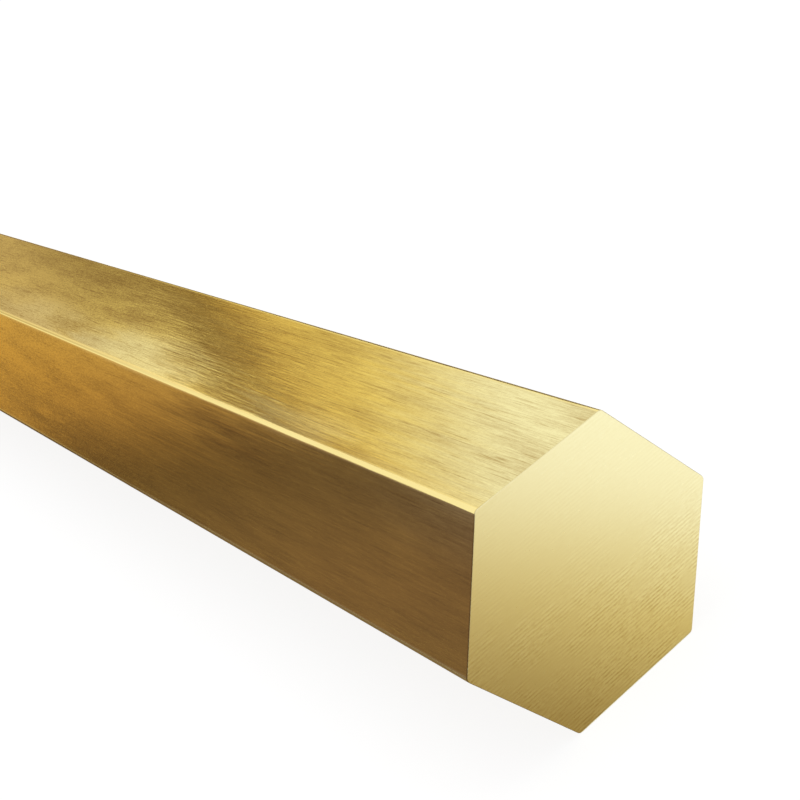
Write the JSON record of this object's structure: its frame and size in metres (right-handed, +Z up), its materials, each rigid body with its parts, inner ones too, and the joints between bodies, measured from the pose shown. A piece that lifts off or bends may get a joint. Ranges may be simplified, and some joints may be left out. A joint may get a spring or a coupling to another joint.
{
  "type": "hexagonal bar stock",
  "caption": "Solid hexagonal brass bar stock with drawn flats, slightly rounded long corners and square sawn ends, a blank for turning or milling.",
  "frame": {"origin": "middle of the flat that the bar lies on", "axes": "+X along the bar, +Y across it from corner to corner, +Z up out of the upper flat"},
  "size_m": [0.3048, 0.0292, 0.0254],
  "materials": {
    "brass": "drawn and brushed along the bar on the flats, with uneven tarnish, and finely sawn on the ends"
  },
  "bodies": {
    "root": {"hex_bar": "brass"}
  },
  "joints": []
}
